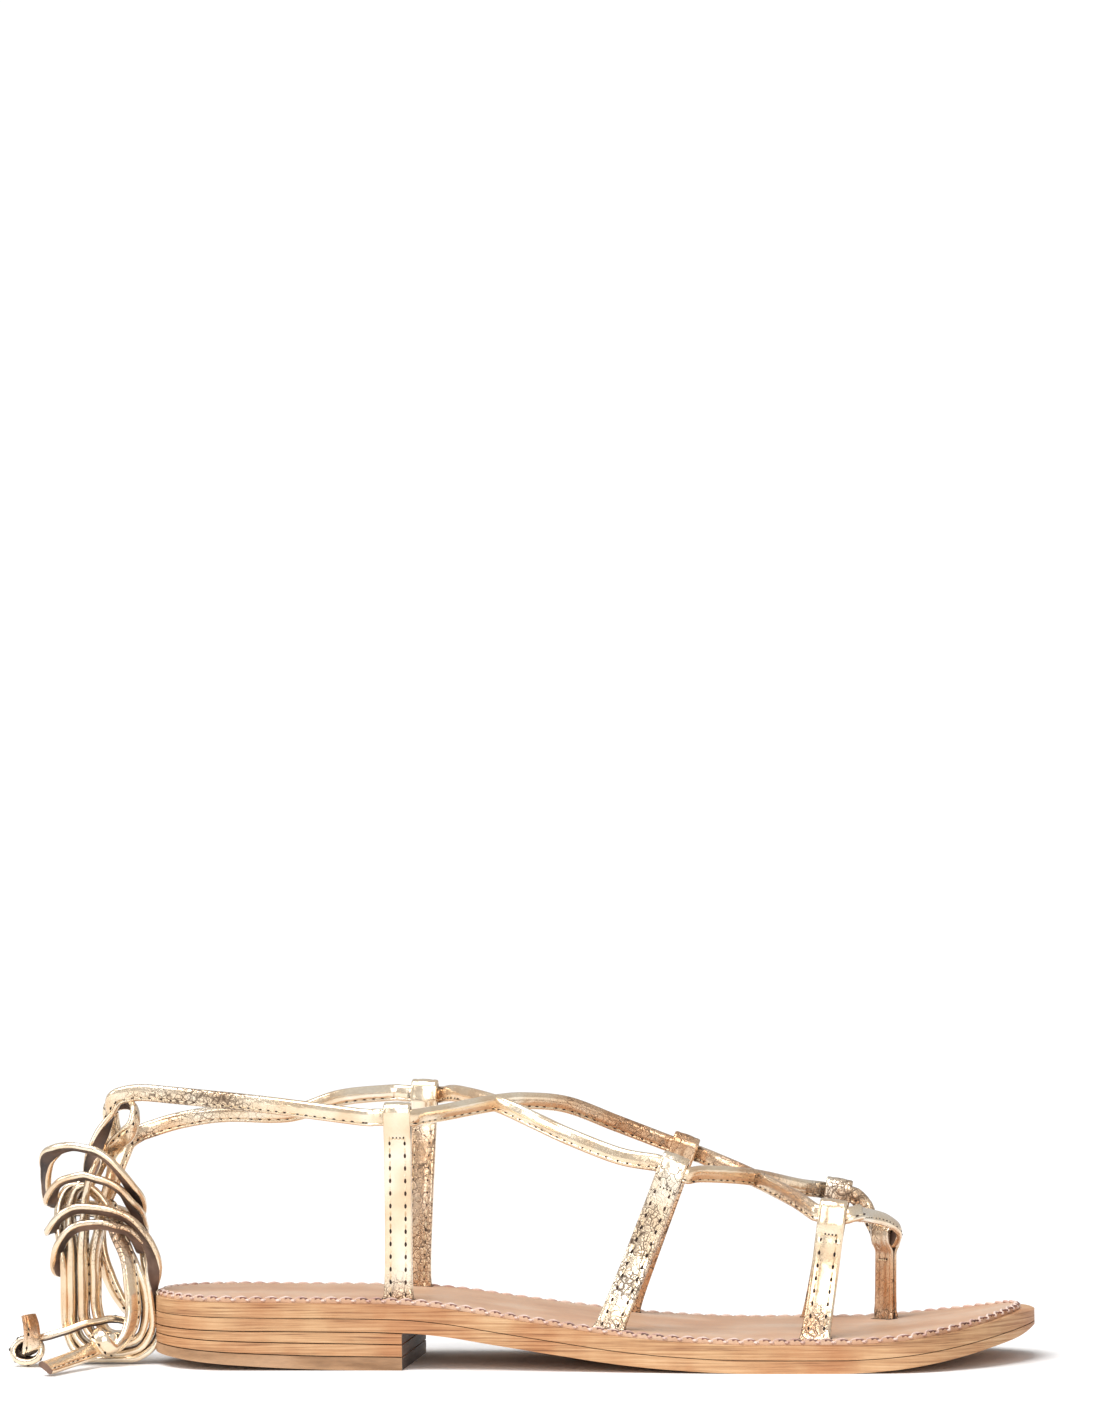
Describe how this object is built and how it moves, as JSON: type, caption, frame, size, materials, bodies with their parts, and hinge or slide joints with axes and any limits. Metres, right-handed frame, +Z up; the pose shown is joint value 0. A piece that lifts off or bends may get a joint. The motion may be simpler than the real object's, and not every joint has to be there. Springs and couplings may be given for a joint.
{
  "type": "gladiator sandal",
  "caption": "Flat lace-up leather sandal with upright folded straps, a toe post, a stacked leather sole and low heel, its laces bundled behind the heel.",
  "frame": {"origin": "on the floor under the middle of the sandal's box, without the loose laces", "axes": "+X to the toe, +Y to the inner (medial) side of a right shoe, +Z up"},
  "size_m": [0.2934, 0.082, 0.0801],
  "materials": {
    "insole_leather": "matte nude leather",
    "stacked_leather": "honey-tan waxed leather edge with dark grain lines",
    "heel_rubber": "matte beige-brown rubber tread",
    "gold_leather": "crackled champagne-gold foil on leather"
  },
  "bodies": {
    "root": {"insole": "insole_leather", "midsole": "stacked_leather", "outsole": "stacked_leather", "heel_lift_upper": "stacked_leather", "heel_lift_lower": "stacked_leather", "heel_top_piece": "heel_rubber", "ankle_strap_lateral": "gold_leather", "ankle_strap_medial": "gold_leather", "instep_strap_lateral": "gold_leather", "instep_strap_medial": "gold_leather", "toe_strap_lateral": "gold_leather", "toe_strap_medial": "gold_leather", "toe_post": "gold_leather", "lacing": "gold_leather", "lace_tail_medial": "gold_leather", "lace_tail_lateral": "gold_leather", "lace_bundle": "gold_leather", "lace_end_coiled": "gold_leather", "lace_end_knotted": "gold_leather"}
  },
  "joints": []
}
